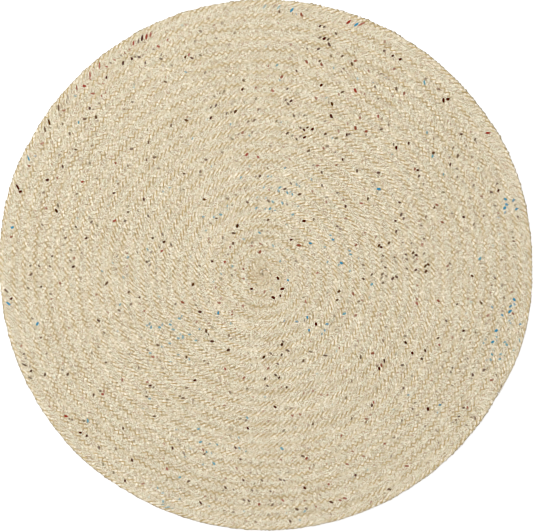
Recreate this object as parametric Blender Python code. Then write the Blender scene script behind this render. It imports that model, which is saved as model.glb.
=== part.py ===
"""Round jute rug: one long plait wound into a flat spiral and sewn edge to edge.

Metres, +Z up. The origin is on the floor under the middle of the rug's outline.
The plait starts near the middle, winds outwards clockwise as seen from above, and
ends in a thin tail at the rim.
"""

import math
from collections import namedtuple

import bmesh
import bpy
from mathutils import Vector

# Driving sizes of the rug
RUG_DIAMETER = 1.200
PLAIT_PITCH = 0.0243
TURNS = 23 + 5 / 6
CREST_HEIGHT = 0.0100
SEAM_HEIGHT = 0.0070
RIM_HEIGHT = 0.0052
FOOT_INSET = 0.0030

# Where the plait starts and ends, from the centre of the outline
START_X = -0.0063
START_Y = -0.0215
OUTER_CENTRE_X = -0.0036
OUTER_CENTRE_Y = -0.0070
DRIFT_POWER = 2.5
TAIL_ANGLE = math.radians(-28)

# The tail is worked thin: over its last part it gives way to the turn inside it
TAIL_TURNS = 0.06
TAIL_GIVES_WAY = 0.0050

# How finely the solid follows the spiral
STEPS_PER_TURN = 60
STEPS_ACROSS = 3
RIM_SEARCH_STEPS = 4
WELD_DISTANCE = 0.00001

# The turns and the rim aren't true circles: how far they stand out at places on the
# way round, clockwise from the tail. Past the tail every turn steps outwards, into
# the room that the tail leaves. The turns near the middle have less of it.
Place = namedtuple("Place", "way_deg stands_out_mm")
TURN_PLACES = (
    Place(0, 6.0),
    Place(12, 8.5),
    Place(35, 6.0),
    Place(60, 2.0),
    Place(100, 0.5),
    Place(150, 0.0),
    Place(220, 0.0),
    Place(260, -2.2),
    Place(310, -2.8),
    Place(336, -1.0),
    Place(350, 2.5),
    Place(360, 6.0),
)
UNEVEN_FROM_TURN = 9

# The last row is the outer side of the tail
RIM_PLACES = (
    Place(0, -2.7),
    Place(7, -0.3),
    Place(47, -1.8),
    Place(92, -1.6),
    Place(107, 2.2),
    Place(132, 1.3),
    Place(152, 0.2),
    Place(169, 3.8),
    Place(182, 0.7),
    Place(212, -0.5),
    Place(242, -2.0),
    Place(293, -0.6),
    Place(307, 3.2),
    Place(329, 0.4),
    Place(348, 4.2),
    Place(360, 2.0),
)

# Natural bleached jute
JUTE_COLOUR = (0.672, 0.584, 0.413, 1.0)
JUTE_ROUGHNESS = 0.9


def direction_at(turn):
    """Unit vector from the middle to the plait after this many turns."""
    angle = TAIL_ANGLE + math.tau * (TURNS - turn)
    return Vector((math.cos(angle), math.sin(angle)))


def stands_out(places, way):
    """How far a line stands out, this many degrees clockwise from the tail."""
    found = places[-1].stands_out_mm
    for here, after in zip(places, places[1:]):
        if way <= after.way_deg:
            share = max(0.0, way - here.way_deg) / (after.way_deg - here.way_deg)
            eased = (1 - math.cos(math.pi * share)) / 2
            rise = after.stands_out_mm - here.stands_out_mm
            found = here.stands_out_mm + eased * rise
            break
    return found / 1000


def seam_point(turn):
    """Point on the inner seam of the plait after this many turns.

    Each turn lies one plait further out. The middle of the turns drifts from
    the start of the plait to a point near the centre of the outline.
    """
    tail_share = max(0.0, 1 - (TURNS - turn) / TAIL_TURNS)
    uneven_share = min(1.0, turn / UNEVEN_FROM_TURN)
    way = 360 * ((turn - TURNS) % 1.0)
    even_radius = PLAIT_PITCH * turn
    radius = even_radius + TAIL_GIVES_WAY * tail_share**2
    radius += uneven_share * stands_out(TURN_PLACES, way)
    drift = (even_radius / (RUG_DIAMETER / 2)) ** DRIFT_POWER
    middle = Vector((START_X, START_Y)).lerp(
        Vector((OUTER_CENTRE_X, OUTER_CENTRE_Y)), drift
    )
    return middle + radius * direction_at(turn)


def rim_point(turn):
    """Point on the rug's outline, straight out from a place on the last turn."""
    direction = direction_at(turn)
    outer_centre = Vector((OUTER_CENTRE_X, OUTER_CENTRE_Y))
    reach = RUG_DIAMETER / 2
    for _ in range(RIM_SEARCH_STEPS):
        place = outer_centre + reach * direction
        swing = math.degrees(direction.angle_signed(place))
        way = 360 * (turn - (TURNS - 1)) + swing
        rim_radius = RUG_DIAMETER / 2 + stands_out(RIM_PLACES, way)
        reach += rim_radius - place.length
    return outer_centre + reach * direction


def plait_point(turn, across):
    """Point on top of the plait: across runs from 0 at its inner seam to 1 outside."""
    inner = seam_point(turn)
    on_last_turn = turn > TURNS - 1 + 0.5 / STEPS_PER_TURN
    outer = rim_point(turn) if on_last_turn else seam_point(turn + 1)
    place = inner.lerp(outer, across)
    height = CREST_HEIGHT
    if across < 0.01:
        height = SEAM_HEIGHT
    if across > 0.99:
        height = RIM_HEIGHT if on_last_turn else SEAM_HEIGHT
    return Vector((place.x, place.y, height))


def wind_plait(mesh):
    """Winds a straight strip of faces into the spiral and welds turn to turn."""
    steps_along = round(TURNS * STEPS_PER_TURN)
    bmesh.ops.create_grid(mesh, x_segments=steps_along, y_segments=STEPS_ACROSS, size=0.5)
    for vert in mesh.verts:
        step = round((vert.co.x + 0.5) * steps_along)
        across = vert.co.y + 0.5
        vert.co = plait_point(step / STEPS_PER_TURN, across)
    bmesh.ops.remove_doubles(mesh, verts=mesh.verts, dist=WELD_DISTANCE)


def open_loop_near(mesh, near_middle):
    """Open edges of the hole in the middle, or those of the rim."""
    start = Vector((START_X, START_Y, 0))
    found = []
    for edge in mesh.edges:
        if not edge.is_boundary:
            continue
        furthest = max((vert.co - start).xy.length for vert in edge.verts)
        if (furthest < 2 * PLAIT_PITCH) == near_middle:
            found.append(edge)
    return found


def close_middle(mesh):
    """Fills the small eye round which the first turn is wound."""
    bmesh.ops.contextual_create(mesh, geom=open_loop_near(mesh, near_middle=True))


def close_underside(mesh):
    """Rounds the rim in to the floor and closes the flat underside."""
    rim_edges = open_loop_near(mesh, near_middle=False)
    grown = bmesh.ops.extrude_edge_only(mesh, edges=rim_edges)["geom"]
    foot_verts = [item for item in grown if isinstance(item, bmesh.types.BMVert)]
    foot_edges = [item for item in grown if isinstance(item, bmesh.types.BMEdge)]
    for vert in foot_verts:
        vert.co -= FOOT_INSET * Vector((vert.co.x, vert.co.y, 0)).normalized()
        vert.co.z = 0
    bmesh.ops.contextual_create(mesh, geom=foot_edges)


def centre_outline(mesh):
    """Moves the middle of the outline's box over the origin."""
    for axis in (0, 1):
        places = [vert.co[axis] for vert in mesh.verts]
        middle = (min(places) + max(places)) / 2
        for vert in mesh.verts:
            vert.co[axis] -= middle


def jute_material():
    """Matt natural jute."""
    material = bpy.data.materials.new("natural_jute")
    material.use_nodes = True
    shader = material.node_tree.nodes["Principled BSDF"]
    shader.inputs["Base Color"].default_value = JUTE_COLOUR
    shader.inputs["Roughness"].default_value = JUTE_ROUGHNESS
    shader.inputs["Metallic"].default_value = 0.0
    material.diffuse_color = JUTE_COLOUR
    return material


def make_rug(collection):
    """One solid: the spiral ridges of the plait over a flat underside."""
    mesh = bmesh.new()
    wind_plait(mesh)
    close_middle(mesh)
    close_underside(mesh)
    centre_outline(mesh)
    bmesh.ops.triangulate(mesh, faces=mesh.faces)
    bmesh.ops.recalc_face_normals(mesh, faces=mesh.faces)
    data = bpy.data.meshes.new("rug")
    mesh.to_mesh(data)
    mesh.free()
    data.materials.append(jute_material())
    data.shade_smooth()
    data.set_sharp_from_angle(angle=math.radians(50))
    rug = bpy.data.objects.new("rug", data)
    collection.objects.link(rug)
    return rug


def main():
    for item in list(bpy.data.objects):
        bpy.data.objects.remove(item, do_unlink=True)
    collection = bpy.data.collections.new("round_jute_rug")
    bpy.context.scene.collection.children.link(collection)
    make_rug(collection)


main()
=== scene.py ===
# %% [markdown]
# # A round jute rug, plaited, wound and sewn
#
# The real rug is one long flat plait of three jute strands. It is wound from the middle outwards
# in a flat spiral, and a golden-brown thread laces each turn to the one inside it in a zigzag.
# This lesson lays the three strands along that spiral, then the thread, then the small tufts of
# jute that swell between its stitches, so that every crossing of the plait is real geometry.
# First the imported CAD model is loaded, and its parts are set in place in the world.

# %% Load the frame
import math
from collections import namedtuple

import bmesh
import bpy
import numpy as np
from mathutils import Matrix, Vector


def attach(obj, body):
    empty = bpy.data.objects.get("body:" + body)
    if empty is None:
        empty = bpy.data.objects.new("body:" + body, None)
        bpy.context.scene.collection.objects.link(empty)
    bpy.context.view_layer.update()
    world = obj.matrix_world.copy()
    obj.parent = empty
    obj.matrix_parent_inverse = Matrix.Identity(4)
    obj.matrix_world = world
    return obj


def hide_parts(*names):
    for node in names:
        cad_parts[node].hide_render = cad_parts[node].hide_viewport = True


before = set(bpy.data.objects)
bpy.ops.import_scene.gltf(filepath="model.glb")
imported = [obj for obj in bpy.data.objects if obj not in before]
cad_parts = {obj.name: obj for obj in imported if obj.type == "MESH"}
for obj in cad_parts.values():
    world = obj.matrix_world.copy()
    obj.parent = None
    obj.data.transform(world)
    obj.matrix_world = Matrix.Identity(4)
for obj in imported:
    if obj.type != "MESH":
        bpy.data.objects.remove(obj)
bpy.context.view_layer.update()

# %% [markdown]
# ## The spiral that the plait follows
#
# A spiral could be one formula, but a hand-wound rug isn't true: its middle drifts, its turns
# bulge past the tail, and its outline is a little uneven. So the rule is an even spiral plus two
# short tables of how far the turns and the rim stand out on the way round. It is the same rule
# that shapes the CAD solid. Places are given in turns, counted from the middle.

# %% Sizes of the rug
RUG_DIAMETER = 1.200
PLAIT_PITCH = 0.0243
TURNS = 23 + 5 / 6
START = np.array([-0.0063, -0.0215])
OUTER_CENTRE = np.array([-0.0036, -0.0070])
DRIFT_POWER = 2.5
TAIL_ANGLE = math.radians(-28)
TAIL_TURNS = 0.06
TAIL_GIVES_WAY = 0.0050
UNEVEN_FROM_TURN = 9
PAST_THE_MIDDLE = 0.0045
MIDDLE_CLOSES_OVER_TURNS = 0.3

Place = namedtuple("Place", "way_deg stands_out_mm")
TURN_PLACES = (
    Place(0, 6.0), Place(12, 8.5), Place(35, 6.0), Place(60, 2.0), Place(100, 0.5),
    Place(150, 0.0), Place(220, 0.0), Place(260, -2.2), Place(310, -2.8), Place(336, -1.0),
    Place(350, 2.5), Place(360, 6.0),
)
RIM_PLACES = (
    Place(0, -2.7), Place(7, -0.3), Place(47, -1.8), Place(92, -1.6), Place(107, 2.2),
    Place(132, 1.3), Place(152, 0.2), Place(169, 3.8), Place(182, 0.7), Place(212, -0.5),
    Place(242, -2.0), Place(293, -0.6), Place(307, 3.2), Place(329, 0.4), Place(348, 4.2),
    Place(360, 2.0),
)
print(len(TURN_PLACES), "places shape the turns and", len(RIM_PLACES), "the rim")

# %% Seams of the spiral
def direction_at(turn):
    """Unit vectors from the middle to the plait after these many turns."""
    angle = TAIL_ANGLE + math.tau * (TURNS - turn)
    return np.stack([np.cos(angle), np.sin(angle)], axis=-1)


def stands_out(places, way):
    """How far a line stands out, these many degrees clockwise from the tail."""
    ways = np.array([place.way_deg for place in places], dtype=float)
    outs = np.array([place.stands_out_mm for place in places])
    row = np.clip(np.searchsorted(ways, way) - 1, 0, len(ways) - 2)
    share = np.clip((way - ways[row]) / (ways[row + 1] - ways[row]), 0, 1)
    eased = (1 - np.cos(math.pi * share)) / 2
    return (outs[row] + eased * (outs[row + 1] - outs[row])) / 1000


def seam_point(turn):
    """Points on the inner seam of the plait. The first turn closes over the middle."""
    turn = np.asarray(turn, dtype=float)
    tail_share = np.clip(1 - (TURNS - turn) / TAIL_TURNS, 0, None)
    uneven_share = np.clip(turn / UNEVEN_FROM_TURN, 0, 1)
    way = 360 * ((turn - TURNS) % 1.0)
    even_radius = PLAIT_PITCH * np.clip(turn, 0, None)
    radius = even_radius + TAIL_GIVES_WAY * tail_share**2
    radius = radius + uneven_share * stands_out(TURN_PLACES, way)
    closing = np.clip(1 - turn / MIDDLE_CLOSES_OVER_TURNS, 0, 1)
    radius = radius - PAST_THE_MIDDLE * closing
    drift = (even_radius / (RUG_DIAMETER / 2)) ** DRIFT_POWER
    middle = START + drift[..., None] * (OUTER_CENTRE - START)
    return middle + radius[..., None] * direction_at(turn)


print("the last turn starts at", np.round(seam_point(TURNS - 1) * 1000), "mm")

# %% Rim of the spiral
RIM_SEARCH_STEPS = 4
OUTLINE_POINTS = 721


def rim_point(turn):
    """Points on the rug's outline, straight out from places on the last turn."""
    direction = direction_at(turn)
    reach = np.full(np.shape(turn), RUG_DIAMETER / 2)
    for _ in range(RIM_SEARCH_STEPS):
        place = OUTER_CENTRE + reach[..., None] * direction
        across = direction[..., 0] * place[..., 1] - direction[..., 1] * place[..., 0]
        along = (direction * place).sum(axis=-1)
        swing = -np.degrees(np.arctan2(across, along))
        way = 360 * (turn - (TURNS - 1)) + swing
        wanted = RUG_DIAMETER / 2 + stands_out(RIM_PLACES, way)
        reach = reach + wanted - np.linalg.norm(place, axis=-1)
    return OUTER_CENTRE + reach[..., None] * direction


rim_outline = rim_point(np.linspace(TURNS - 1, TURNS, OUTLINE_POINTS))
outline_middle = (rim_outline.min(axis=0) + rim_outline.max(axis=0)) / 2
rim_size = rim_outline.max(axis=0) - rim_outline.min(axis=0)
print("outline", np.round(rim_size * 1000, 1), "mm, moved by", np.round(-outline_middle * 1000, 2))

# %% [markdown]
# ## From a straight plait to the wound one
#
# It is far easier to think of a plait that lies straight: how far along, how far across, how
# high. So the first cell makes a table of the plait's middle line and its two edges at every
# place along it, and the second has one function that lays points of a straight plait into the
# spiral. The outermost turn has no neighbour to squeeze it, so its outer half is wider than its
# inner half, and its strands are dragged forward towards the rim.

# %% Middle line and edges of the plait
HALF_PLAIT = PLAIT_PITCH / 2
STRAND_REACH = 0.0132
PLAIT_STARTS_AT = -0.62
RIM_LEAN = 0.010
RIM_COMES_OVER_TURNS = 0.03
LEAN_ENDS_OVER_TURNS = 0.02
TURN_TABLE_ROWS = 24001
turn_table = np.linspace(PLAIT_STARTS_AT, TURNS, TURN_TABLE_ROWS)
inner_table = seam_point(turn_table)
on_last_turn = turn_table > TURNS - 1
outer_table = np.where(
    on_last_turn[:, None], rim_point(turn_table), seam_point(turn_table + 1)
)
plait_width = np.linalg.norm(outer_table - inner_table, axis=1)
even_share = np.clip((turn_table - (TURNS - 1)) / RIM_COMES_OVER_TURNS, 0, 1)
inner_part = 0.5 + even_share * (np.minimum(HALF_PLAIT / plait_width, 0.5) - 0.5)
middle_table = inner_table + inner_part[:, None] * (outer_table - inner_table)
reaches_over = 1 + (STRAND_REACH / HALF_PLAIT - 1) * even_share
outer_table = middle_table + (outer_table - middle_table) / reaches_over[:, None]
steps = np.linalg.norm(np.diff(middle_table, axis=0), axis=1)
length_table = np.concatenate([[0.0], np.cumsum(steps)])
PLAIT_LENGTH = length_table[-1]
not_yet_ended = np.clip((TURNS - turn_table) / LEAN_ENDS_OVER_TURNS, 0, 1)
lean_table = RIM_LEAN * even_share * not_yet_ended
print("plait length", round(PLAIT_LENGTH, 2), "m")

# %% Lay a straight plait into the spiral
def look_up(table, along):
    """Rows of a table at these lengths along the plait."""
    return np.stack([np.interp(along, length_table, column) for column in table.T], axis=-1)


def lay_in_spiral(along, across, height):
    """Points of a straight plait, moved to their places in the wound rug."""
    outwards = np.clip(across / HALF_PLAIT, 0, 1)
    along = along + outwards * np.interp(along, length_table, lean_table)
    middle = look_up(middle_table, along)
    inner = look_up(inner_table, along)
    outer = look_up(outer_table, along)
    share = (across / HALF_PLAIT)[..., None]
    flat = middle + np.where(share < 0, share * (middle - inner), share * (outer - middle))
    flat = flat - outline_middle
    return np.concatenate([flat, height[..., None]], axis=-1)


one_metre_along = lay_in_spiral(np.array([1.0]), np.array([0.0]), np.array([0.0]))[0]
print("one metre along, the plait lies at", np.round(one_metre_along * 1000), "mm")

# %% [markdown]
# ## One strand of the plait
#
# In a flat three-strand plait each strand swings from edge to edge. It comes up at the middle
# line, passes over the others on its way out, turns round the edge, and goes back under them. It
# could be a curve drawn by hand through every crossing, but all crossings are alike: the swing to
# the sides is one sine wave, and the rise and fall is another of twice the rate. The three strands
# follow the same path a third of a repeat apart.

# %% Sizes of a strand
REPEAT = 0.0303
SWING = 0.0064
RISE = 0.0016
STRAND_HALF_WIDTH = 0.0075
STRAND_HALF_HEIGHT = 0.0033
MID_HEIGHT = 0.0050
print("the plait has", round(PLAIT_LENGTH / REPEAT), "repeats")

# %% [markdown]
# ## Uneven by hand
#
# A hand keeps no machine's time: each stretch of a plait is a little wider, thinner or later than
# the last. Random jitter at every point would look torn, so each amount changes slowly between
# seeded values some way apart. The short table gives how much and how often each one changes.

# %% Small uneven amounts
Uneven = namedtuple("Uneven", "seed share spacing")
UNEVEN_PACE = Uneven(3, 0.10, 0.045)
UNEVEN_SWING = Uneven(10, 0.07, 0.017)
UNEVEN_WIDTH = Uneven(20, 0.09, 0.012)
UNEVEN_THICKNESS = Uneven(30, 0.10, 0.015)
UNEVEN_RISE = Uneven(40, 0.08, 0.014)


def ease(share):
    """Turns an even step from 0 to 1 into a soft one."""
    return share * share * (3 - 2 * share)


def slow_change(seed, along, spacing):
    """A smooth seeded change between -1 and 1, with a new value at every spacing."""
    draws = np.random.default_rng(seed).uniform(-1, 1, int(PLAIT_LENGTH / spacing) + 4)
    place = np.clip(along / spacing, 0, len(draws) - 2)
    before = place.astype(int)
    share = ease(place - before)
    return draws[before] * (1 - share) + draws[before + 1] * share


def uneven(amount, along, strand=0):
    """A slowly changing share, more or less, that differs from strand to strand."""
    return amount.share * slow_change(amount.seed + strand, along, amount.spacing)


def quarters_at(strand, along):
    """Place on a strand in quarter swings. It shows in the cells 0 and 2 of every four."""
    repeats = along / REPEAT + uneven(UNEVEN_PACE, along)
    return 4 * (repeats + strand / 3)


print("strand 1 makes", round(quarters_at(0, PLAIT_LENGTH) / 4), "swings out and back")

# %% [markdown]
# ## The surface of a strand
#
# A strand of loose jute is a flat oval bundle, which leans with its path and is pressed thinner
# where it turns at a seam. One function gives the points of its surface: how far along the plait,
# and how far round the bundle. The strands start thin in the middle and end thin in the tail. The
# first turn is wound so tightly that its strands spread a little wider and close the middle.

# %% Place the points of a strand
PRESSED_AT_SEAM = 0.22
PRESSED_FROM = 0.45
PRESSED_OVER = 0.40
WIDER_AT_START = 0.24
WIDER_OVER = 0.10
TIP_LENGTH = 0.018
TAIL_LENGTH = 0.060
THINNEST = 0.30
TAPER_POWER = 0.7


def strand_points(strand, along, turned):
    """Points of a strand's surface: along the plait, and turned round its own section."""
    quarter = quarters_at(strand, along)
    angle = quarter * math.pi / 2
    swing = SWING * (1 + uneven(UNEVEN_SWING, along, strand))
    width = STRAND_HALF_WIDTH * (1 + uneven(UNEVEN_WIDTH, along, strand))
    thick = STRAND_HALF_HEIGHT * (1 + uneven(UNEVEN_THICKNESS, along, strand))
    rise = RISE * (1 + uneven(UNEVEN_RISE, along, strand))
    from_end = np.minimum(along / TIP_LENGTH, (PLAIT_LENGTH - along) / TAIL_LENGTH)
    width = width * (THINNEST + (1 - THINNEST) * np.clip(from_end, 0, 1) ** TAPER_POWER)
    leaning = np.arctan(swing * math.tau / REPEAT * np.cos(angle))
    out = width * np.cos(turned)
    across = swing * np.sin(angle) + out * np.cos(leaning)
    forward = along - out * np.sin(leaning)
    past = (np.abs(across) / HALF_PLAIT - PRESSED_FROM) / PRESSED_OVER
    pressed = 1 - PRESSED_AT_SEAM * ease(np.clip(past, 0, 1))
    across = across * (1 + WIDER_AT_START * np.clip(1 - along / WIDER_OVER, 0, 1))
    height = MID_HEIGHT + pressed * (rise * np.sin(2 * angle) + thick * np.sin(turned))
    return forward, across, np.clip(height, 0, None), quarter


crests = strand_points(0, np.linspace(1, 2, 400), math.pi / 2)[2]
print("crests lie", round(crests.min() * 1000, 1), "to", round(crests.max() * 1000, 1), "mm high")

# %% [markdown]
# ## A tube rolled from a grid
#
# Each strand is one tube, as long as all 45 m of the plait. A curve with a bevel could draw it,
# but its section couldn't lean and flatten, and the finish needs to know where each point lies. So
# a strand starts as a long flat grid. Its points are placed round the strand's path, its two long edges are welded into
# a tube, and its ends are filled. The grid's own map runs round the strand.

# %% A long flat grid to roll up
RINGS_PER_REPEAT = 10
STRAND_SIDES = 6
STRAND_RINGS = round(PLAIT_LENGTH / REPEAT * RINGS_PER_REPEAT)


def tube_from_grid(name, rings, sides):
    """A flat grid as a mesh, with how far along and how far round each of its points is."""
    grid = bmesh.new()
    grid.loops.layers.uv.new("round_strand")
    bmesh.ops.create_grid(grid, x_segments=rings, y_segments=sides, size=0.5, calc_uvs=True)
    data = bpy.data.meshes.new(name)
    grid.to_mesh(data)
    grid.free()
    places = np.zeros(len(data.vertices) * 3, dtype=np.float32)
    data.vertices.foreach_get("co", places)
    places = places.reshape(-1, 3).astype(float) + 0.5
    return data, places[:, 0], places[:, 1]


print("a strand has", STRAND_RINGS, "rings of", STRAND_SIDES, "sides")

# %% Close a tube and make its piece
WELD_DISTANCE = 0.000001


def close_tube(data):
    """Welds the long edges of the rolled grid, fills its ends and turns its faces outwards."""
    tube = bmesh.new()
    tube.from_mesh(data)
    bmesh.ops.remove_doubles(tube, verts=tube.verts, dist=WELD_DISTANCE)
    open_edges = [edge for edge in tube.edges if edge.is_boundary]
    bmesh.ops.holes_fill(tube, edges=open_edges, sides=0)
    bmesh.ops.recalc_face_normals(tube, faces=tube.faces)
    for face in tube.faces:
        face.smooth = True
    tube.to_mesh(data)
    tube.free()


def keep_on_points(data, name, kind, field, values):
    """Keeps one value for each point of the mesh under a name that materials can read."""
    kept = data.attributes.new(name, kind, "POINT")
    kept.data.foreach_set(field, np.asarray(values, dtype=np.float32).ravel())


def make_piece(data):
    """An object for a finished mesh, under the mesh's own name."""
    piece = bpy.data.objects.new(data.name, data)
    bpy.context.scene.collection.objects.link(piece)
    print(data.name, len(data.vertices), "points", len(data.polygons), "faces")
    return piece


print("long edges are welded within", WELD_DISTANCE * 1000, "mm")

# %% [markdown]
# ## Coloured flecks spun into the strands
#
# Rug makers spin scraps of dyed yarn in with the pale jute, so a strand shows a dark or blue mark
# each time that it comes to the top, on the outer half, then on the inner half, and so on. A
# painted dot pattern would cut across the strands. Here each mark belongs to one showing of one
# strand. The clearest marks stand in a short table, by where they lie on the rug and how often in
# a row the strand shows them. Others lie in loose clusters, where one scrap came up many times. A
# seeded draw adds the many faint ones. Places are in millimetres right and up from the middle.

# %% Dyes
Dye = namedtuple("Dye", "colour strength")
# How the scraps were dyed, and how fully each dye covers the jute
DYES = {
    "maroon": Dye("#3e0a00", 1.00),
    "brown": Dye("#3c1a02", 1.00),
    "red": Dye("#861c08", 0.95),
    "rust": Dye("#7a2f16", 0.95),
    "umber": Dye("#4a2804", 1.00),
    "blue": Dye("#16799c", 0.95),
    "pale_blue": Dye("#4a8898", 0.90),
    "grey": Dye("#5a4c2c", 0.85),
}
print(len(DYES), "dyes")

# %% The clearest flecks
Fleck = namedtuple("Fleck", "right_mm up_mm dye shows")
CLEAREST_FLECKS = (
    Fleck(548, -106, "blue", 2), Fleck(556, -78, "blue", 1), Fleck(517, -148, "blue", 1),
    Fleck(513, -177, "blue", 1), Fleck(512, -204, "pale_blue", 2), Fleck(538, 150, "blue", 2),
    Fleck(206, 538, "blue", 1), Fleck(60, 573, "blue", 2), Fleck(254, 167, "blue", 1),
    Fleck(98, 46, "blue", 1), Fleck(153, 60, "blue", 1), Fleck(173, 2, "blue", 1),
    Fleck(53, -33, "blue", 1), Fleck(96, -127, "blue", 1), Fleck(-100, -107, "blue", 1),
    Fleck(-532, 242, "blue", 2), Fleck(-577, -87, "blue", 1), Fleck(387, -310, "blue", 1),
    Fleck(-575, 80, "blue", 1), Fleck(-515, -138, "blue", 1),
    Fleck(301, 465, "maroon", 1), Fleck(283, 470, "maroon", 1), Fleck(405, 371, "maroon", 1),
    Fleck(124, 538, "maroon", 1), Fleck(133, 515, "maroon", 1), Fleck(410, 370, "maroon", 1),
    Fleck(498, 298, "red", 1), Fleck(202, 397, "red", 1), Fleck(189, 549, "red", 1),
    Fleck(346, 212, "maroon", 2), Fleck(182, 291, "maroon", 1), Fleck(86, 300, "maroon", 2),
    Fleck(90, 290, "maroon", 1), Fleck(173, 240, "maroon", 1), Fleck(83, 102, "maroon", 1),
    Fleck(58, 62, "maroon", 1), Fleck(33, -24, "maroon", 1), Fleck(31, -49, "maroon", 3),
    Fleck(-34, -62, "maroon", 1), Fleck(-66, 91, "brown", 1), Fleck(119, -134, "maroon", 1),
    Fleck(328, -198, "maroon", 1), Fleck(442, -149, "maroon", 1), Fleck(-41, -366, "maroon", 2),
    Fleck(-165, -259, "maroon", 1), Fleck(-120, 10, "maroon", 1), Fleck(-556, 167, "maroon", 1),
    Fleck(-402, -388, "maroon", 2), Fleck(-447, -337, "red", 1), Fleck(-573, -79, "maroon", 2),
    Fleck(-401, 59, "maroon", 1), Fleck(-338, 165, "maroon", 1), Fleck(-560, 181, "maroon", 1),
)
print(len(CLEAREST_FLECKS), "clear flecks")

# %% Where flecks gather
Cluster = namedtuple("Cluster", "right_mm up_mm spread_mm dye flecks")
CLUSTERS = (
    Cluster(3, 170, 40, "pale_blue", 16), Cluster(57, 163, 20, "pale_blue", 8),
    Cluster(-105, 121, 15, "pale_blue", 4), Cluster(-219, -162, 35, "pale_blue", 22),
    Cluster(93, -138, 20, "blue", 5), Cluster(171, 7, 25, "pale_blue", 7),
    Cluster(538, 145, 14, "blue", 8), Cluster(545, -114, 14, "blue", 8),
    Cluster(527, -173, 22, "pale_blue", 13), Cluster(563, 43, 18, "grey", 8),
    Cluster(-231, -513, 32, "pale_blue", 10), Cluster(-118, -426, 24, "pale_blue", 12),
    Cluster(-430, 380, 60, "umber", 9), Cluster(-292, -29, 30, "pale_blue", 4),
    Cluster(-9, 578, 14, "pale_blue", 3), Cluster(63, -570, 16, "pale_blue", 3),
    Cluster(-80, -40, 60, "rust", 14), Cluster(60, -20, 60, "pale_blue", 8),
    Cluster(-285, 500, 32, "red", 12), Cluster(-300, 470, 30, "maroon", 12),
    Cluster(-370, 410, 26, "red", 12), Cluster(130, 520, 24, "brown", 6),
    Cluster(-100, 380, 30, "maroon", 9), Cluster(85, 304, 25, "brown", 9),
    Cluster(153, 166, 18, "brown", 5), Cluster(286, 7, 45, "umber", 26),
    Cluster(300, 60, 60, "maroon", 16), Cluster(15, -204, 40, "brown", 14),
    Cluster(-50, -504, 45, "maroon", 16), Cluster(-526, -246, 30, "brown", 7),
    Cluster(-273, 66, 45, "brown", 14), Cluster(490, 127, 35, "maroon", 8),
    Cluster(380, -230, 60, "brown", 14), Cluster(-430, 40, 50, "brown", 8),
    Cluster(-60, 130, 50, "umber", 12), Cluster(180, 330, 60, "rust", 12),
    Cluster(180, -420, 90, "rust", 14), Cluster(420, -330, 60, "maroon", 10),
)
print(len(CLUSTERS), "clusters of", sum(row.flecks for row in CLUSTERS), "flecks")

# %% Colours written as hex
def linear(hex_colour, alpha=1.0):
    """A colour written as sRGB hex, as the linear numbers that Blender works in."""
    channels = [int(hex_colour[place : place + 2], 16) / 255 for place in (1, 3, 5)]
    changed = [c / 12.92 if c <= 0.04045 else ((c + 0.055) / 1.055) ** 2.4 for c in channels]
    return (*changed, alpha)


print("a mid grey in linear light is", round(linear("#808080")[0], 3))

# %% [markdown]
# ## Which strand shows a fleck
#
# A strand shows on top twice in every swing out and back, once on each side of the middle line.
# The next cell finds where all those showings lie on the rug. Each fleck is then given to the
# showing nearest to its place, and the colours are kept by strand and by showing.

# %% Where each strand shows
# A showing takes two of the four quarter swings, from half a quarter early
QUARTERS_PER_SHOWING = 2
SHOWS_EARLY = 0.5
SHOWS_AT = 0.35
UNDYED = "#cdbf9c"
SPARE_SHOWINGS = 20
ALONG_TABLE_ROWS = 120001
along_table = np.linspace(0, PLAIT_LENGTH, ALONG_TABLE_ROWS)


def showing_places(strand):
    """Where on the rug each showing of a strand lies."""
    quarters = quarters_at(strand, along_table)
    first, last = quarters[[0, -1]] / QUARTERS_PER_SHOWING
    numbers = np.arange(math.ceil(first), int(last))
    along = np.interp(QUARTERS_PER_SHOWING * numbers + SHOWS_AT, quarters, along_table)
    side = np.where(numbers % 2 == 0, 1, -1)
    across = side * SWING * math.sin(SHOWS_AT * math.pi / 2)
    return numbers, lay_in_spiral(along, across, np.zeros(len(along)))[:, :2]


showings = [showing_places(strand) for strand in range(3)]
most_showings = max(numbers[-1] for numbers, _ in showings) + SPARE_SHOWINGS
fleck_colours = np.zeros((3, most_showings, 4))
fleck_colours[..., :3] = linear(UNDYED)[:3]
print("the strands show", sum(len(numbers) for numbers, _ in showings), "times")

# %% Give each fleck to a showing
FLECK_SEED = 77
LATER_STRENGTHS = (0.15, 0.5, 0.8, 1.0)
draw = np.random.default_rng(FLECK_SEED)


def nearest_showing(right, up):
    """The strand that shows nearest to a place on the rug, and the number of that showing."""
    wanted = np.array([right, up]) - outline_middle
    best = None
    for strand, (numbers, places) in enumerate(showings):
        away = np.linalg.norm(places - wanted, axis=1)
        nearest = int(np.argmin(away))
        if best is None or away[nearest] < best[0]:
            best = (away[nearest], strand, int(numbers[nearest]))
    return best[1:]


def dye_run(right, up, dye, shows, strength=1.0):
    """Dyes the strand that shows nearest to a place, for as many showings in a row.

    After the first, a scrap shows more or less by chance.
    """
    strand, first = nearest_showing(right, up)
    colour = linear(DYES[dye].colour)[:3]
    for number in range(first, first + shows):
        fleck_colours[strand, number] = (*colour, DYES[dye].strength * strength)
        strength = draw.choice(LATER_STRENGTHS)


def fleck_colour_at(strand, quarter):
    """Colour of the dyed scrap at these places on a strand. Its alpha is how much shows."""
    number = np.floor((quarter + SHOWS_EARLY) / QUARTERS_PER_SHOWING).astype(int)
    return fleck_colours[strand, np.clip(number, 0, most_showings - 1)]


print("the middle of the rug is showing", nearest_showing(0, 0)[1], "of its strand")

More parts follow.
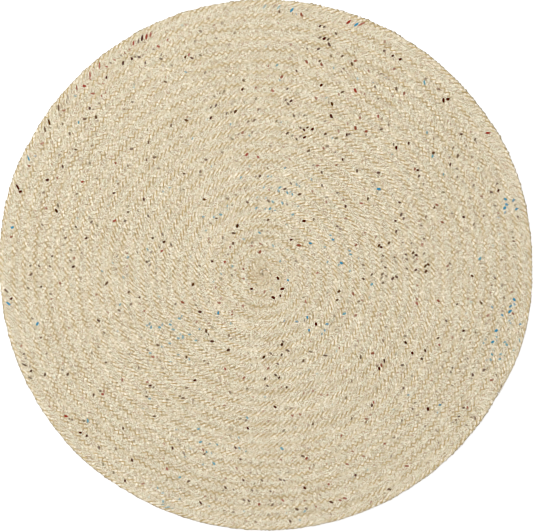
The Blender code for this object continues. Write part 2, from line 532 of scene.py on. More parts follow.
# %% Dye the strands
FAINT_FLECKS = 1250
FAINTEST = 0.35
MOST_ARE_FAINT = 1.5
FAINT_DYES = {
    "rust": 0.20, "umber": 0.36, "maroon": 0.22, "grey": 0.07, "pale_blue": 0.09, "red": 0.06,
}
FLECKS_REACH = 0.97 * RUG_DIAMETER / 2
UNFLECKED_MIDDLE = 0.004
CLUSTER_STRENGTHS = (0.55, 1.0)

for _ in range(FAINT_FLECKS):
    reach = FLECKS_REACH * math.sqrt(draw.uniform(UNFLECKED_MIDDLE, 1))
    bearing = draw.uniform(0, math.tau)
    dye = str(draw.choice(list(FAINT_DYES), p=list(FAINT_DYES.values())))
    strength = FAINTEST + (1 - FAINTEST) * draw.uniform(0, 1) ** MOST_ARE_FAINT
    dye_run(reach * math.cos(bearing), reach * math.sin(bearing), dye, 1, strength)
for row in CLUSTERS:
    for off in draw.normal(0, row.spread_mm / 1000, (row.flecks, 2)):
        right, up = row.right_mm / 1000 + off[0], row.up_mm / 1000 + off[1]
        dye_run(right, up, row.dye, 1, draw.uniform(*CLUSTER_STRENGTHS))
for row in CLEAREST_FLECKS:
    dye_run(row.right_mm / 1000, row.up_mm / 1000, row.dye, row.shows)
print("showings with a fleck", int((fleck_colours[..., 3] > 0).sum()))

# %% [markdown]
# ## Make the three strands
#
# The finish has to follow the strands, and no map laid over the rug could do that. So named
# attributes keep for each point how far along the strand it lies, in quarter swings, how far
# across the plait, and the colour of its dyed scrap. The counts of the three strands are set far
# apart, so that no two strands share a pattern.

# %% Make the three strands
QUARTERS_APART = 8000


def make_strand(strand):
    """One strand of the plait from the middle of the rug to its tail, as a closed tube."""
    name = f"strand_{strand + 1}"
    data, far, turned = tube_from_grid(name, STRAND_RINGS, STRAND_SIDES)
    along = far * PLAIT_LENGTH
    forward, across, height, quarter = strand_points(strand, along, turned * math.tau)
    places = lay_in_spiral(forward, across, height)
    data.vertices.foreach_set("co", places.astype(np.float32).ravel())
    own_quarter = quarter + strand * QUARTERS_APART
    on_rug = np.stack([own_quarter, across / HALF_PLAIT, 0 * across], axis=-1)
    keep_on_points(data, "on_rug", "FLOAT_VECTOR", "vector", on_rug)
    keep_on_points(data, "fleck", "FLOAT_COLOR", "color", fleck_colour_at(strand, quarter))
    close_tube(data)
    return make_piece(data)


strands = [make_strand(strand) for strand in range(3)]

# %% [markdown]
# ## The stitches of the seam
#
# The maker's stitches are closest near the middle and widen towards the rim. A stitch every so
# many degrees would be wrong, because the turns grow. So the length of the seam is divided by the
# spacing at each turn and added up, and from then on a place on the seam is a number of stitches.

# %% Where the seam's stitches fall
Stitches = namedtuple("Stitches", "turn spacing_mm")
STITCH_TABLE = (
    Stitches(0, 11.4), Stitches(8, 11.7), Stitches(15, 12.4), Stitches(19.5, 13.5),
    Stitches(22, 14.0), Stitches(25, 14.0),
)
SEAM_STARTS_AT = 0.02
SEAM_TABLE_ROWS = 25001
seam_turns = np.linspace(SEAM_STARTS_AT, TURNS + 1, SEAM_TABLE_ROWS)
seam_places = np.where(
    (seam_turns > TURNS)[:, None], rim_point(seam_turns - 1), seam_point(seam_turns)
)
seam_steps = np.linalg.norm(np.diff(seam_places, axis=0), axis=1)
spacing = np.interp(
    seam_turns[1:], [row.turn for row in STITCH_TABLE], [row.spacing_mm for row in STITCH_TABLE]
)
stitch_count = np.concatenate([[0.0], np.cumsum(seam_steps * 1000 / spacing)])


def stitches_at(turn):
    """How many stitches lie before these turns of the seam. Past the last turn it is the rim."""
    return np.interp(turn, seam_turns, stitch_count)


print("stitches in the seams", round(stitch_count[-1]))

# %% [markdown]
# ## The sewing thread
#
# A thread laces each turn to the next: it crosses the seam, goes down, comes up one stitch
# further and crosses back, so from above it is a zigzag of even legs. It runs on round the rim,
# a little inside the outline, where it holds the outer edge of the last turn. One long tube
# follows the whole way, because a piece for each leg would leave thousands of ends. It is drawn
# down into the soft jute by an amount that slowly changes, so in some stretches it stands clear
# and in others it nearly sinks in. The underside, which lies on the floor, has the same zigzag.

# %% Sizes of the thread
THREAD_RADIUS = 0.00100
THREAD_HEIGHT = 0.0091
RETURN_SINKS = 0.0020
RIM_STITCHES_INSIDE = 0.0062
THREAD_STARTS_AT = 1.05
THREAD_ENDS_AT = TURNS + 0.99
FIRST_STITCH = math.ceil(stitches_at(THREAD_STARTS_AT))
LAST_STITCH = math.floor(stitches_at(THREAD_ENDS_AT))
# The thread crosses outwards in this share of a stitch, and goes back in the rest. How far it
# swings to each side, and how deep it lies in the jute, change from turn to turn too.
Crossing = namedtuple("Crossing", "turn outward_share swing_mm sinks_mm")
CROSSINGS = (
    Crossing(0, 0.80, 4.0, 1.5), Crossing(5, 0.80, 4.0, 0.9), Crossing(9, 0.80, 4.2, 0.6),
    Crossing(14, 0.80, 4.2, 0.6), Crossing(18, 0.58, 3.4, 0.6), Crossing(21, 0.52, 3.2, 0.6),
    Crossing(23, 0.66, 3.6, 0.8), Crossing(26, 0.66, 3.4, 0.8),
)
print("the thread runs from stitch", FIRST_STITCH, "to", LAST_STITCH)

# %% Path of the thread
EVEN_CROSSING = 0.52
LONG_CROSSING = 0.68
UNEVEN_DEPTH = Uneven(60, 1.0, 0.09)


def seam_line(turn):
    """The seam, or past the last turn the rim, and how far inside it the stitches run."""
    on_rim = turn > TURNS
    line = np.where(on_rim[:, None], rim_point(turn - 1), seam_point(turn))
    return line, np.where(on_rim, RIM_STITCHES_INSIDE, 0.0)


def crossing_at(stitch):
    """The share of a stitch that goes outwards, the swing and the depth, at these stitches."""
    turn, *columns = np.array(CROSSINGS).T
    here = np.interp(stitch, stitch_count, seam_turns)
    share, swing_mm, sinks_mm = (np.interp(here, turn, column) for column in columns)
    return share, swing_mm / 1000, sinks_mm / 1000


def thread_path(stitch_part):
    """Middle line of the thread. Half a stitch takes it out, and the other half back."""
    whole = np.floor(stitch_part)
    part = stitch_part - whole
    outward, swing, sinks = crossing_at(stitch_part)
    goes_out = part < 0.5
    phase = np.where(goes_out, 2 * part * outward, outward + (2 * part - 1) * (1 - outward))
    stitch = whole + phase
    side = 1 - 4 * np.abs(part - 0.5)
    turn = np.interp(stitch, stitch_count, seam_turns)
    seam, inside = seam_line(turn)
    flat = seam + (swing * side - inside)[:, None] * direction_at(turn) - outline_middle
    sinks = sinks * (1 + uneven(UNEVEN_DEPTH, stitch / stitch[-1] * PLAIT_LENGTH))
    long_crossing = (outward - EVEN_CROSSING) / (LONG_CROSSING - EVEN_CROSSING)
    way_back = np.clip(long_crossing, 0, 1) * np.where(goes_out, 0, 1 - np.abs(side))
    height = THREAD_HEIGHT - sinks - RETURN_SINKS * way_back
    return np.concatenate([flat, height[:, None]], axis=-1)


print("stitch 100 lies at", np.round(thread_path(np.array([100.0]))[0] * 1000, 1), "mm")

# %% Make the thread
def make_thread(name, face, rings_per_stitch, sides):
    """The sewing thread as one closed tube, on the rug's face (1) or underneath (-1)."""
    rings = (LAST_STITCH - FIRST_STITCH) * rings_per_stitch
    data, far, turned = tube_from_grid(name, rings, sides)
    ring_stitches = np.linspace(FIRST_STITCH, LAST_STITCH, rings + 1)
    path = thread_path(ring_stitches)
    path[:, 2] = np.maximum(MID_HEIGHT + face * (path[:, 2] - MID_HEIGHT), THREAD_RADIUS)
    heading = np.gradient(path, axis=0)
    heading /= np.linalg.norm(heading, axis=1)[:, None]
    beside = np.stack([heading[:, 1], -heading[:, 0], np.zeros(len(path))], axis=-1)
    beside /= np.linalg.norm(beside, axis=1)[:, None]
    above = np.cross(beside, heading)
    ring = np.rint(far * rings).astype(int)
    angle = (turned * math.tau)[:, None]
    off_path = np.cos(angle) * beside[ring] + np.sin(angle) * above[ring]
    places = path[ring] + THREAD_RADIUS * off_path
    data.vertices.foreach_set("co", places.astype(np.float32).ravel())
    keep_on_points(data, "stitch", "FLOAT", "value", ring_stitches[ring])
    close_tube(data)
    return make_piece(data)


thread = make_thread("seam_thread", 1, rings_per_stitch=4, sides=4)
under_thread = make_thread("seam_thread_underneath", -1, rings_per_stitch=2, sides=4)

# %% [markdown]
# ## Tufts between the stitches
#
# Each leg of the thread pulls the jute down, and between the legs it swells up in a small tuft,
# on one side of the seam and then on the other. Thousands of equal small shapes are best made
# once and copied. A ball of few faces is copied by doubling, and then every copy is stretched
# and put in its own open triangle of the zigzag.

# %% Where the tufts lie
FIRST_TUFT_TURN = 0.30
first_half_stitch = math.ceil(2 * float(stitches_at(FIRST_TUFT_TURN)))
half_stitches = np.arange(first_half_stitch, 2 * LAST_STITCH) / 2
outward, swing, sinks = crossing_at(half_stitches)
on_outside = np.rint(2 * half_stitches) % 2 == 0
into_triangle = np.where(on_outside, (2 * outward - 1) / 3, (1 + outward) / 3 - 0.5)
tuft_stitches = half_stitches + into_triangle
tuft_turns = np.interp(tuft_stitches, stitch_count, seam_turns)
print(len(tuft_stitches), "tufts, half of them outside the seams")

# %% Copy one ball many times
def many_balls(count):
    """A mesh of many equal small balls, one after another, and how many points each has."""
    balls = bmesh.new()
    bmesh.ops.create_icosphere(balls, subdivisions=1, radius=1.0)
    each = len(balls.verts)
    while len(balls.verts) < count * each:
        missing = count * each - len(balls.verts)
        balls.verts.ensure_lookup_table()
        verts = balls.verts[: min(missing, len(balls.verts))]
        chosen = set(verts)
        faces = [face for face in balls.faces if face.verts[0] in chosen]
        edges = [edge for edge in balls.edges if edge.verts[0] in chosen]
        bmesh.ops.duplicate(balls, geom=list(verts) + edges + faces)
    for face in balls.faces:
        face.smooth = True
    data = bpy.data.meshes.new("seam_tufts")
    balls.to_mesh(data)
    balls.free()
    return data, each


tuft_data, points_each = many_balls(len(tuft_stitches))
print("each tuft has", points_each, "points")

# %% Sizes of the tufts
TUFT_HALF_LENGTH = 0.0050
TUFT_HALF_WIDTH = 0.0037
TUFT_HALF_HEIGHT = 0.0026
TUFT_SHARE_OF_SWING = 0.50
TUFT_HEIGHT = 0.0070
TUFT_SEED = 5
FULL_SIZE_FROM_TURN = 5
# What differs from tuft to tuft, and how much
Range = namedtuple("Range", "least most")
OFF_SEAM = Range(0.75, 1.25)
ALONG_SEAM_MM = Range(-0.6, 0.6)
SIZE_SHARE = Range(0.8, 1.15)
NEAR_MIDDLE_SHARE = Range(0.75, 1.0)
OWN_LEAN = Range(-0.15, 0.15)
LEG_LEAN = Range(0, 0.5)
LEANS_WITH_LEG = 1.8
SUNK_SHARE = Range(0, 0.6)
longest_tuft = 2 * TUFT_HALF_LENGTH * SIZE_SHARE.most
print("a tuft is up to", round(longest_tuft * 1000, 1), "mm long")

# %% Lay the tufts
def lay_tufts(corner):
    """Points of the balls, each ball stretched along its seam and put in its place."""
    count = len(tuft_stitches)
    draw = np.random.default_rng(TUFT_SEED)
    seam, inside = seam_line(tuft_turns)
    out = direction_at(tuft_turns)
    heading = np.stack([out[:, 1], -out[:, 0]], axis=-1)
    side = np.where(on_outside, 1, -1)
    off = side * swing * TUFT_SHARE_OF_SWING * draw.uniform(*OFF_SEAM, count) - inside
    middle = seam + off[:, None] * out - outline_middle
    middle += (draw.uniform(*ALONG_SEAM_MM, count) / 1000)[:, None] * heading
    size = draw.uniform(*SIZE_SHARE, (3, count, 1))
    size = size * np.clip(tuft_turns / FULL_SIZE_FROM_TURN, *NEAR_MIDDLE_SHARE)[:, None]
    leg_lean = np.clip((outward - 0.5) * LEANS_WITH_LEG, *LEG_LEAN)
    lean = draw.uniform(*OWN_LEAN, count) + leg_lean
    lengthways = corner[..., 0] * TUFT_HALF_LENGTH * size[0]
    sideways = corner[..., 1] * TUFT_HALF_WIDTH * size[1] + lean[:, None] * lengthways
    flat = middle[:, None] + lengthways[..., None] * heading[:, None]
    flat = flat + sideways[..., None] * out[:, None]
    deep = (sinks * draw.uniform(*SUNK_SHARE, count))[:, None]
    height = TUFT_HEIGHT - deep + corner[..., 2] * TUFT_HALF_HEIGHT * size[2]
    return np.concatenate([flat, height[..., None]], axis=-1)


corners = np.zeros(len(tuft_data.vertices) * 3, dtype=np.float32)
tuft_data.vertices.foreach_get("co", corners)
tuft_points = lay_tufts(corners.reshape(len(tuft_stitches), points_each, 3).astype(float))
tuft_data.vertices.foreach_set("co", tuft_points.astype(np.float32).ravel())
keep_on_points(tuft_data, "stitch", "FLOAT", "value", np.repeat(tuft_stitches, points_each))
tufts = make_piece(tuft_data)

# %% [markdown]
# ## How the materials are put together
#
# A material is a graph of nodes. One small function adds any node: it takes the node's settings,
# and what goes into its sockets, by number among those in use or by name. A socket takes a plain
# value, a hex colour, another node or one of its outputs. A plain shader is the end of each graph.
# Most finishes here are tones laid over one another, each by a share that a pattern gives.

# %% Add nodes to a material
def feed(tree, node, sockets):
    """Sets sockets of a node to values, or links them to other nodes."""
    in_use = [socket for socket in node.inputs if socket.enabled]
    for name, value in sockets.items():
        socket = in_use[name] if isinstance(name, int) else node.inputs[name]
        if isinstance(value, bpy.types.Node):
            value = next(output for output in value.outputs if output.enabled)
        if isinstance(value, bpy.types.NodeSocket):
            tree.links.new(value, socket)
        else:
            socket.default_value = linear(value) if isinstance(value, str) else value


def add_node(tree, kind, sockets, **settings):
    """Adds a node with its settings, and sets or links its sockets."""
    node = tree.nodes.new(kind)
    for name, value in settings.items():
        setattr(node, name, value)
    feed(tree, node, sockets)
    return node


print("helpers for nodes:", add_node.__name__, "and", feed.__name__)

# %% Start a material
# Plant fibre bends light by about this much, and loose fibres mirror very little of it
FIBRE_IOR = 1.5
FIBRE_SPECULAR_LEVEL = 0.05


def new_material(name, roughness):
    """A material with a plain shader, and the node tree and shader to build on."""
    material = bpy.data.materials.new(name)
    material.use_nodes = True
    tree = material.node_tree
    shader = tree.nodes["Principled BSDF"]
    feed(tree, shader, {"Roughness": roughness, "IOR": FIBRE_IOR})
    feed(tree, shader, {"Specular IOR Level": FIBRE_SPECULAR_LEVEL})
    print(name, "has a roughness of", roughness)
    return material, tree, shader


print("fibre bends light by", FIBRE_IOR)

# %% Lay tones over one another
Layer = namedtuple("Layer", "source none_at full_at full_share tone")


def set_tones(ramp, tones):
    """Sets a ramp to these tones, evenly spaced."""
    elements = ramp.color_ramp.elements
    while len(elements) < len(tones):
        elements.new(0.5)
    for number, tone in enumerate(tones):
        elements[number].position = number / (len(tones) - 1)
        elements[number].color = linear(tone)
    print("a ramp of", len(elements), "tones from", tones[0], "to", tones[-1])


def lay_over(tree, colour, layers):
    """Lays tones over a colour, each by a share that its source turns from none to full."""
    for layer in layers:
        share = add_node(
            tree,
            "ShaderNodeMapRange",
            {0: layer.source, 1: layer.none_at, 2: layer.full_at, 3: 0.0, 4: layer.full_share},
            interpolation_type="SMOOTHSTEP",
        )
        colour = add_node(
            tree, "ShaderNodeMix", {0: share, 1: colour, 2: layer.tone}, data_type="RGBA"
        )
    print("layers laid over:", len(layers), "and nodes so far:", len(tree.nodes))
    return colour


print("a layer has", ", ".join(Layer._fields))

# %% [markdown]
# ## Bleached, loosely spun jute
#
# Jute for rugs is bleached to a pale cream and loosely spun, so it is quite matt, with a fuzz of
# loose fibres. The finish could be painted over the rug from above, but then it would cut across
# the strands. So it is built up on each strand's own places: how far along the strand a spot
# lies, counted in quarter swings and in millimetres, and how far round it.

# %% Read the places on the strands
jute_material, jute, jute_shader = new_material("bleached_spun_jute", 0.85)
on_rug = add_node(jute, "ShaderNodeAttribute", {}, attribute_name="on_rug")
on_rug_parts = add_node(jute, "ShaderNodeSeparateXYZ", {0: on_rug.outputs["Vector"]})
quarter, across = on_rug_parts.outputs[0], on_rug_parts.outputs[1]
round_map = add_node(jute, "ShaderNodeUVMap", {}, uv_map="round_strand")
turned = add_node(jute, "ShaderNodeSeparateXYZ", {0: round_map}).outputs[1]
QUARTER_MM = REPEAT * 1000 / 4
# The way round a strand
ROUND_MM = 36.0
strand_place = add_node(jute, "ShaderNodeCombineXYZ", {0: quarter, 1: turned})
strand_mm = add_node(
    jute, "ShaderNodeMapping", {"Vector": strand_place, "Scale": (QUARTER_MM, ROUND_MM, 1.0)}
)
object_place = add_node(jute, "ShaderNodeTexCoord", {}).outputs["Object"]
print("a quarter swing is", round(QUARTER_MM, 1), "mm of plait")

# %% [markdown]
# ## A tone for each showing of a strand
#
# Jute is a crop, so its tone drifts along a strand: greyer, greener or pinker. Each strand keeps
# its tone for a while, which a slow noise gives, and every showing differs a little from it.

# %% Tones of the strands
STRAND_TONES = ("#b2a890", "#c3b9a2", "#beb4a0", "#c9c0ab", "#bdb8a2", "#c3b7a4", "#c6b99a")
# The tone drifts over some 30 quarter swings, and each showing's own draw has a share in it
DRIFT_PER_QUARTER = 0.035
SHOWING_SHARE = 0.22
showing_part = add_node(
    jute,
    "ShaderNodeMath",
    {0: quarter, 1: 1 / QUARTERS_PER_SHOWING, 2: SHOWS_EARLY / QUARTERS_PER_SHOWING},
    operation="MULTIPLY_ADD",
)
showing = add_node(jute, "ShaderNodeMath", {0: showing_part}, operation="FLOOR")
in_showing = add_node(jute, "ShaderNodeMath", {0: showing_part}, operation="FRACT")
own_draw = add_node(jute, "ShaderNodeTexWhiteNoise", {"W": showing}, noise_dimensions="1D")
drift = add_node(
    jute,
    "ShaderNodeTexNoise",
    {"W": quarter, "Scale": DRIFT_PER_QUARTER, "Detail": 2.0},
    noise_dimensions="1D",
)
tone = add_node(
    jute, "ShaderNodeMix", {0: SHOWING_SHARE, 1: drift, 2: own_draw.outputs["Value"]}
)
strand_tones = add_node(jute, "ShaderNodeValToRGB", {0: tone})
set_tones(strand_tones, STRAND_TONES)

# %% [markdown]
# ## The yarns in a strand
#
# A strand is a flat bundle of yarns side by side. Each yarn shows for a few millimetres before it
# turns under its neighbours, so the yarns lie like staggered bricks, and a brick pattern along the
# strand gives each of them its tone. They are drawn 1.9 mm wide, coarser than the real ones, which
# a camera at this distance can't tell apart. A few are of scraps: reddish, grey or dark brown.

# %% Tones of the yarns
YARN_TONES = (
    "#3a2318", "#a0694f", "#7b8468", "#ab8f58", "#c29f88", "#afb896", "#d0bd99", "#b9b9a4",
    "#d5c2ac", "#cbcfb2", "#ddd1b6", "#d8dcca", "#ebe4cf",
)
YARN_SHOWS_MM = 4.6
YARN_WIDTH_MM = 1.9
YARN_SHARE = 0.52
yarns = add_node(
    jute,
    "ShaderNodeTexBrick",
    {
        "Vector": strand_mm, "Color1": "#000000", "Color2": "#ffffff", "Scale": 1.0,
        "Mortar Size": 0.0, "Brick Width": YARN_SHOWS_MM, "Row Height": YARN_WIDTH_MM,
    },
    offset=0.37,
)
yarn_tones = add_node(jute, "ShaderNodeValToRGB", {0: yarns})
set_tones(yarn_tones, YARN_TONES)
colour = add_node(
    jute, "ShaderNodeMix", {0: YARN_SHARE, 1: strand_tones, 2: yarn_tones}, data_type="RGBA"
)

# %% [markdown]
# ## Fibres and fuzz
#
# Coarse fibre bundles run along the strand as browner streaks, drawn 1.5 mm wide where real ones
# are a tenth of that. Loose ends stand off the surface everywhere and make a fuzz of light and dark
# specks. Both are noises: the streaks are stretched along the strand, and the fuzz isn't.

# %% Streaks and specks
FIBRE_BROWN = "#a38c66"
FUZZ_DARK = "#867046"
FUZZ_LIGHT = "#efe8d6"
# Streaks are some 8 mm long and 1.5 mm wide, and specks 1.4 mm
STREAKS_PER_MM = (0.13, 0.65, 1.0)
SPECKS_PER_METRE = 700.0
streak_place = add_node(
    jute, "ShaderNodeMapping", {"Vector": strand_mm, "Scale": STREAKS_PER_MM}
)
fibres = add_node(
    jute, "ShaderNodeTexNoise", {"Vector": streak_place, "Scale": 1.0, "Detail": 3.0}
)
fuzz = add_node(
    jute, "ShaderNodeTexNoise", {"Vector": object_place, "Scale": SPECKS_PER_METRE, "Detail": 1.0}
)
colour = lay_over(
    jute,
    colour,
    (
        Layer(fibres, 0.52, 0.72, 0.40, FIBRE_BROWN),
        Layer(fuzz, 0.50, 0.66, 1.00, FUZZ_DARK),
        Layer(fuzz, 0.50, 0.34, 0.90, FUZZ_LIGHT),
    ),
)

# %% [markdown]
# ## Painted golden shade in the dips
#
# Where a strand dives under the next, and beside the seams, light reaches the eye only after it
# has bounced from fibre to fibre, which makes the jute look golden. This is painted shade: the dips
# are found by height, because they lie near the plait's mid height, on the face as on the underside.
# In some patches of the rug the painted shade is deeper. The tightly wound middle is a little tan.

# %% Painted golden shade in the dips and beside the seams, tan middle
# Painted shade: golden tints for the dips and the seam sides; the same gold also tints the middle tan
SHADE_AND_MIDDLE_GOLD = "#a68d64"
SEAM_SIDE_SHADE_GOLD = "#c8b691"
DIP_REACH = 0.00173
DIP_SHADE_SHARE = Range(0.50, 0.80)
PATCHES_PER_METRE = 14.0
PATCHES_DEEPEN = Range(0.40, 0.64)
TAN_MIDDLE_HEIGHT = 0.008
height = add_node(jute, "ShaderNodeSeparateXYZ", {0: object_place}).outputs[2]
above_mid = add_node(jute, "ShaderNodeMath", {0: height, 1: MID_HEIGHT}, operation="SUBTRACT")
from_mid_height = add_node(jute, "ShaderNodeMath", {0: above_mid}, operation="ABSOLUTE")
shade_patches = add_node(
    jute,
    "ShaderNodeTexNoise",
    {"Vector": object_place, "Scale": PATCHES_PER_METRE, "Detail": 2.0},
)
dip_shade_share = add_node(
    jute,
    "ShaderNodeMapRange",
    {
        0: shade_patches, 1: PATCHES_DEEPEN.least, 2: PATCHES_DEEPEN.most,
        3: DIP_SHADE_SHARE.least, 4: DIP_SHADE_SHARE.most,
    },
    interpolation_type="SMOOTHSTEP",
)
off_middle = add_node(jute, "ShaderNodeMath", {0: across}, operation="ABSOLUTE")
start_place = (*(START - outline_middle), TAN_MIDDLE_HEIGHT)
from_start = add_node(
    jute, "ShaderNodeVectorMath", {0: object_place, 1: start_place}, operation="DISTANCE"
)
# Painted shade near mid height and beside the seams, then the tan tint of the middle
colour = lay_over(
    jute,
    colour,
    (
        Layer(from_mid_height, DIP_REACH, 0.0, dip_shade_share, SHADE_AND_MIDDLE_GOLD),
        Layer(off_middle, 0.35, 0.90, 0.32, SEAM_SIDE_SHADE_GOLD),
        Layer(from_start, 0.045, 0.012, 0.32, SHADE_AND_MIDDLE_GOLD),
    ),
)
print("golden within", round(DIP_REACH * 1000, 1), "mm of", MID_HEIGHT * 1000, "mm high")

# %% [markdown]
# ## Strokes of dyed scrap
#
# A dyed scrap is a few fibres of another yarn, spun in with the jute. Where its strand comes up it
# shows as one short ragged stroke along the strand, at most some 7 mm long and 3 mm wide. Its
# place and size differ from showing to showing, and a fainter scrap is a smaller one. A stroke of
# its own mesh would stand off the strand, so it is a layer of the finish, and its colour is the
# one that was kept on the strand's points.

# %% Where a stroke lies
STROKE_HALF_LENGTH = 3.5
STROKE_HALF_WIDTH = 1.45
# How long a showing is along the strand, and where in it the stroke's middle lies: the shares of
# that length and of the way round the strand
SHOWING_LENGTH_MM = 23.0
STROKE_ALONG = Range(0.36, 0.50)
STROKE_ROUND = Range(0.20, 0.30)
long_scale = SHOWING_LENGTH_MM / STROKE_HALF_LENGTH
wide_scale = ROUND_MM / STROKE_HALF_WIDTH
along_differs = STROKE_ALONG.most - STROKE_ALONG.least
round_differs = STROKE_ROUND.most - STROKE_ROUND.least
minus_middle = add_node(
    jute,
    "ShaderNodeVectorMath",
    {
        0: own_draw.outputs["Color"],
        1: (along_differs * long_scale, round_differs * wide_scale, 0.0),
        2: (-STROKE_ALONG.most * long_scale, -STROKE_ROUND.most * wide_scale, 0.0),
    },
    operation="MULTIPLY_ADD",
)
in_showing_place = add_node(jute, "ShaderNodeCombineXYZ", {0: in_showing, 1: turned})
off_stroke = add_node(
    jute,
    "ShaderNodeVectorMath",
    {0: in_showing_place, 1: (long_scale, wide_scale, 0.0), 2: minus_middle},
    operation="MULTIPLY_ADD",
)
print("strokes", 2 * STROKE_HALF_LENGTH, "by", 2 * STROKE_HALF_WIDTH, "mm")

# %% Colour the strokes
RAGGED_BY = 1.6
SIZE_DIFFERS_BY = 0.6
FAINT_IS_SMALLER_BY = 1.1
fleck = add_node(jute, "ShaderNodeAttribute", {}, attribute_name="fleck")
off_edge = add_node(jute, "ShaderNodeVectorMath", {0: off_stroke}, operation="LENGTH")
for source, amount in (
    (fuzz, RAGGED_BY),
    (own_draw.outputs["Value"], SIZE_DIFFERS_BY),
    (fleck.outputs["Alpha"], -FAINT_IS_SMALLER_BY),
):
    off_edge = add_node(
        jute, "ShaderNodeMath", {0: source, 1: amount, 2: off_edge}, operation="MULTIPLY_ADD"
    )
stroke = Layer(off_edge, 1.52, 1.14, fleck.outputs["Alpha"], fleck.outputs["Color"])
colour = lay_over(jute, colour, (stroke,))

# %% Put the jute finish on the strands
FUZZ_SHARE_OF_BUMP = 0.4
raised = add_node(jute, "ShaderNodeMix", {0: FUZZ_SHARE_OF_BUMP, 1: fibres, 2: fuzz})
bump = add_node(jute, "ShaderNodeBump", {"Height": raised, "Strength": 0.6, "Distance": 0.0012})
feed(jute, jute_shader, {"Base Color": colour, "Normal": bump})
for strand in strands:
    strand.data.materials.append(jute_material)
print("jute finish has", len(jute.nodes), "nodes")

# %% [markdown]
# ## Swollen jute of the tufts, painted lighter
#
# The tufts are the strands' own jute, swollen up between the stitches, so it is as matt. Their
# tones are a painted highlight, lighter than the strands', for the light that the raised tufts
# catch. Bricks of yarn would be too coarse for them. Each tuft has its tone, drawn by its number,
# and fine fibres of about 1.7 mm show on it.

# %% Swollen jute of the tufts, with a painted highlight
# Painted highlight: these tones are lighter than the strands' own jute
LIT_TUFT_TONES = ("#cdc1a5", "#d9ceb6", "#e5dcc8", "#eee7d6")
TUFT_FIBRES_PER_METRE = 600.0
swollen_material, swollen, swollen_shader = new_material("bleached_swollen_jute_painted_lit", 0.85)
tuft_number = add_node(swollen, "ShaderNodeAttribute", {}, attribute_name="stitch").outputs["Fac"]
tuft_draw = add_node(
    swollen, "ShaderNodeTexWhiteNoise", {"W": tuft_number}, noise_dimensions="1D"
)
lit_tuft_tones = add_node(swollen, "ShaderNodeValToRGB", {0: tuft_draw})
set_tones(lit_tuft_tones, LIT_TUFT_TONES)
tuft_place = add_node(swollen, "ShaderNodeTexCoord", {}).outputs["Object"]
tuft_fibres = add_node(
    swollen,
    "ShaderNodeTexNoise",
    {"Vector": tuft_place, "Scale": TUFT_FIBRES_PER_METRE, "Detail": 1.0},
)
tuft_streaks = Layer(tuft_fibres, 0.48, 0.72, 1.0, FIBRE_BROWN)
tuft_colour = lay_over(swollen, lit_tuft_tones, (tuft_streaks,))
tuft_bump = add_node(
    swollen, "ShaderNodeBump", {"Height": tuft_fibres, "Strength": 0.4, "Distance": 0.001}
)
feed(swollen, swollen_shader, {"Base Color": tuft_colour, "Normal": tuft_bump})
tufts.data.materials.append(swollen_material)

# %% [markdown]
# ## The finish of the thread
#
# The thread is thin jute twine left in its natural golden brown. It is darker than the bleached
# strands, its two plies show as darker places some 3 mm apart, and it fades towards cream where it
# is worn. The wear comes and goes along the thread, so it follows the count of stitches.

# %% Natural golden twine
TWINE_GOLD = "#bea877"
TWINE_DARK = "#a89060"
TWINE_FADED = "#d2c6a9"
PLIES_PER_METRE = 300.0
FADES_PER_STITCH = 0.30
twine_material, twine, twine_shader = new_material("natural_jute_twine", 0.8)
stitch_number = add_node(twine, "ShaderNodeAttribute", {}, attribute_name="stitch").outputs["Fac"]
twine_place = add_node(twine, "ShaderNodeTexCoord", {}).outputs["Object"]
plies = add_node(
    twine,
    "ShaderNodeTexNoise",
    {"Vector": twine_place, "Scale": PLIES_PER_METRE, "Detail": 2.0},
)
fading = add_node(
    twine,
    "ShaderNodeTexNoise",
    {"W": stitch_number, "Scale": FADES_PER_STITCH},
    noise_dimensions="1D",
)
twine_colour = lay_over(
    twine,
    TWINE_GOLD,
    (Layer(plies, 0.40, 0.65, 1.0, TWINE_DARK), Layer(fading, 0.46, 0.66, 1.0, TWINE_FADED)),
)
twine_bump = add_node(
    twine, "ShaderNodeBump", {"Height": plies, "Strength": 0.4, "Distance": 0.0006}
)
feed(twine, twine_shader, {"Base Color": twine_colour, "Normal": twine_bump})
for piece in (thread, under_thread):
    piece.data.materials.append(twine_material)

# %% [markdown]
# ## Floor, light and camera
#
# The rug lies on a plain pale floor, under a soft, nearly even light, as in a studio: a bright
# surround with one big lamp a little to the upper left. The camera looks straight down.

# %% Floor
FLOOR_HALF_SIZE = 6.0


def make_floor():
    """A wide pale floor just under the rug."""
    plane = bmesh.new()
    bmesh.ops.create_grid(plane, x_segments=1, y_segments=1, size=FLOOR_HALF_SIZE)
    data = bpy.data.meshes.new("floor")
    plane.to_mesh(data)
    plane.free()
    material, paper, shader = new_material("matt_white_studio_paper", 0.9)
    feed(paper, shader, {"Base Color": "#f8f8f8"})
    data.materials.append(material)
    return make_piece(data)


floor = make_floor()

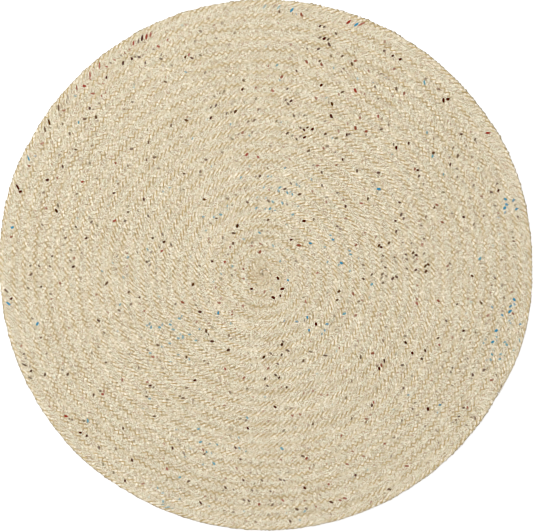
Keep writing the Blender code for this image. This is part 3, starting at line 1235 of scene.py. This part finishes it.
# %% Light
SURROUND_STRENGTH = 0.955
LAMP_PLACE = (-1.0, 1.0, 3.6)
LAMP_WATTS = 80
LAMP_SIDE = 2.4


def soft_surround(strength):
    """An even white surround."""
    world = bpy.data.worlds.new("studio_surround")
    world.use_nodes = True
    background = world.node_tree.nodes["Background"]
    background.inputs["Color"].default_value = linear("#ffffff")
    background.inputs["Strength"].default_value = strength
    bpy.context.scene.world = world


def big_lamp(place, power, side):
    """A square lamp that points at the middle of the rug."""
    light = bpy.data.lights.new("big_lamp", "AREA")
    light.energy = power
    light.size = side
    lamp = bpy.data.objects.new("big_lamp", light)
    lamp.location = place
    lamp.rotation_euler = (-Vector(place)).to_track_quat("-Z", "Y").to_euler()
    bpy.context.scene.collection.objects.link(lamp)


soft_surround(SURROUND_STRENGTH)
big_lamp(LAMP_PLACE, LAMP_WATTS, LAMP_SIDE)
bpy.context.scene.view_settings.view_transform = "Standard"
bpy.context.scene.cycles.filter_width = 1.0
print("a lamp of", LAMP_WATTS, "watts,", LAMP_SIDE, "m wide")

# %% Camera
FRAME_WIDTH = 1.2000
CAMERA_RIGHT = 0.0016
CAMERA_DOWN = 0.0025
RUG_FACE_HEIGHT = 0.0085
LENS_MM = 100
SENSOR_MM = 36


def make_camera():
    """A long lens straight above the rug."""
    data = bpy.data.cameras.new("camera")
    data.lens = LENS_MM
    data.sensor_width = SENSOR_MM
    camera = bpy.data.objects.new("camera", data)
    middle = -outline_middle
    height = RUG_FACE_HEIGHT + FRAME_WIDTH * LENS_MM / SENSOR_MM
    camera.location = (middle[0] + CAMERA_RIGHT, middle[1] - CAMERA_DOWN, height)
    bpy.context.scene.collection.objects.link(camera)
    bpy.context.scene.camera = camera
    print("camera at", [round(value, 4) for value in camera.location])


make_camera()

# %% [markdown]
# ## Put each piece on the rug's body
#
# All pieces lie still on the rug's one body and together stand for its CAD solid, which is hidden.
# The three strands, the thread above and underneath, and the tufts make up one round of cloth
# 1.2 m across, laid on the floor. It is plaited to its shape.

for piece in (*strands, thread, under_thread, tufts):
    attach(piece, "root")
    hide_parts("rug")
